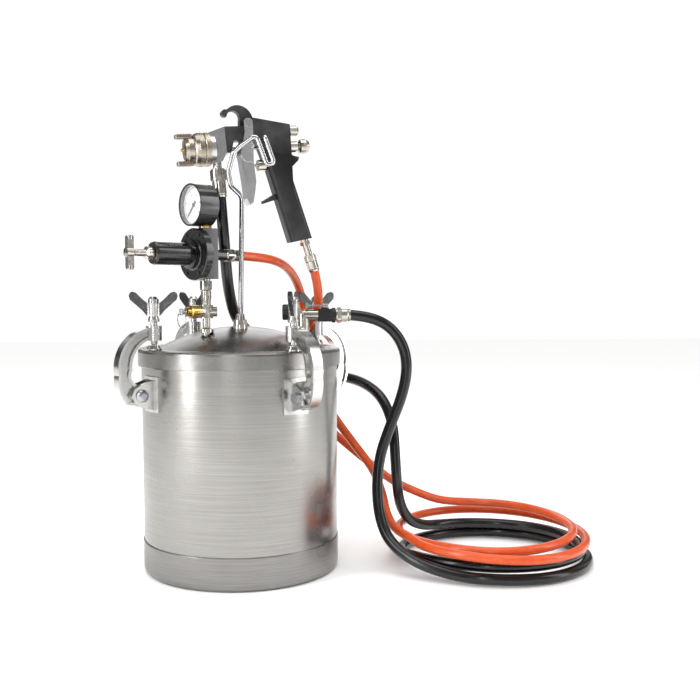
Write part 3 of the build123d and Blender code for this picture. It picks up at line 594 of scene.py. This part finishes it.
def gunKnurls():
    nose = gunAxes()[0]
    for name, (along, height, radius, length, pitch, depth, body, slotName) in knurls.items():
        knurl(name, onGun(along, 0, height), nose, radius * mm, length * mm, pitch * mm, depth * mm, 0.0,
              body,
              slotName)


gunKnurls()
knurl("bleedKnobKnurl", (0.056, -0.037, 0.322), (-1, 0, 0), 9.25 * mm, 6.6 * mm, 1.5 * mm, 0.6 * mm, 0.0,
      "bleed_knob", "black_plastic")


welds = {
    "skirtRadius": 121.9,      # millimetres
    "skirtHeight": 40.2,
    "bead": 0.8,
    "seamAngle": 84.0,         # compass of the pot's upright seam, at the back
    "seamWidth": 1.6,
    "wallRadius": 121.4,
    "seamFoot": 42,
    "ripple": 1.5,             # distance between the ripples of the seam
    "ripples": 142,
}


def bead(name, path, radius, closed, mat, seed):
    # a welded bead: an uneven row of overlapping ripples along a path
    rng = random.Random(seed)
    work = bmesh.new()
    rings = []
    around = 6
    for k, (spot, along) in enumerate(path):
        place = axisFrame(spot, along)
        swell = radius * (0.86 + 0.14 * math.sin(k * 2.1) + rng.uniform(-0.05, 0.05))
        rings.append([work.verts.new(place @ Vector((swell * math.cos(a), swell * math.sin(a), 0)))
                      for a in (2 * math.pi * i / around for i in range(around))])
    pairs = list(zip(rings, rings[1:])) + ([(rings[-1], rings[0])] if closed else [])
    for first, second in pairs:
        for i in range(around):
            j = (i + 1) % around
            work.faces.new((first[i], first[j], second[j], second[i]))
    if not closed:
        work.faces.new(rings[0][::-1])
        work.faces.new(rings[-1])
    return meshPiece(name, work, mat, "root")


def makeWelds():
    r, z = welds["skirtRadius"] * mm, welds["skirtHeight"] * mm
    round360 = [math.radians(k * 1.0) for k in range(360)]
    ring = [((r * math.cos(a), r * math.sin(a), z), (-math.sin(a), math.cos(a), 0)) for a in round360]
    bead("skirtWeld", ring, welds["bead"] * mm, True, finish["skirt_steel"], 3)
    a = math.radians(welds["seamAngle"])
    wall = welds["wallRadius"] * mm
    seam = [((wall * math.cos(a), wall * math.sin(a), (welds["seamFoot"] + k * welds["ripple"]) * mm),
             (0, 0, 1))
            for k in range(welds["ripples"])]
    bead("potSeam", seam, welds["seamWidth"] / 2 * mm, False, finish["pot_steel"], 5)


makeWelds()


dial = {
    "faceHeight": 449.0,       # millimetres
    "plateFront": 14.8,        # distance of the printed face from the column's axis
    "column": (-40.0, -40.0),
    "sweep": 270.0,
    "marks": 50,
    "facing": (-0.82, -0.572, 0),
    "rim": 20.6,               # radius of the ring round the scale
    "longMark": 16.2,
    "shortMark": 18.6,
    "numberRadius": 12.6,
    "numberSize": 4.6,
    "numbers": ("0", "2", "4", "6", "8", "10"),
}


def facingWay():
    return Vector(dial["facing"]).normalized()


def dialPoint(r, degreesTurned, lift=0.0):
    # degreesTurned is counted clockwise from the zero mark at the lower left, seen from the front
    way = facingWay()
    right = Vector((0, 0, 1)).cross(way)
    a = math.radians(225 - degreesTurned)
    centre = Vector((*dial["column"], dial["faceHeight"])) + way * (dial["plateFront"] + lift)
    return (centre + right * (r * math.cos(a)) + Vector((0, 0, 1)) * (r * math.sin(a))) * mm


def addStroke(work, start, end, wide, lift):
    # a thin raised bar on the dial between two points given as (radius, degrees turned)
    way = facingWay()
    a, b = dialPoint(*start), dialPoint(*end)
    side = (b - a).cross(way).normalized() * (wide / 2 * mm)
    up = way * (lift * mm)
    spots = [a - side, a + side, b + side, b - side]
    low = [work.verts.new(s) for s in spots]
    high = [work.verts.new(s + up) for s in spots]
    work.faces.new(low[::-1])
    work.faces.new(high)
    for i in range(4):
        j = (i + 1) % 4
        work.faces.new((low[i], low[j], high[j], high[i]))


def makeDialMarks():
    work = bmesh.new()
    step = dial["sweep"] / dial["marks"]
    for k in range(dial["marks"] + 1):
        major = k % 10 == 0
        inner = dial["longMark"] if major else dial["shortMark"]
        addStroke(work, (dial["rim"], k * step), (inner, k * step), 0.7 if major else 0.3, 0.12)
    for k in range(90):
        addStroke(work, (dial["rim"], k * 3.0), (dial["rim"], k * 3.0 + 3.05), 0.35, 0.12)
    meshPiece("dialMarks", work, finish["pointer_black"], "root", smooth=False)


def makeDialNumbers():
    way = facingWay()
    right = Vector((0, 0, 1)).cross(way)
    for k, word in enumerate(dial["numbers"]):
        text = bpy.data.curves.new("dialNumber" + word, "FONT")
        text.body = word
        text.size = dial["numberSize"] * mm
        text.extrude = 0.06 * mm
        text.align_x = "CENTER"
        text.align_y = "CENTER"
        text.resolution_u = 3
        obj = bpy.data.objects.new("dialNumber" + word, text)
        bpy.context.collection.objects.link(obj)
        spot = dialPoint(dial["numberRadius"], k * dial["sweep"] / 5, 0.08)
        turn = Matrix((right, Vector((0, 0, 1)), way)).transposed().to_4x4()
        obj.matrix_world = Matrix.Translation(spot) @ turn
        text.materials.append(finish["pointer_black"])
        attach(obj, "root")


makeDialMarks()
makeDialNumbers()
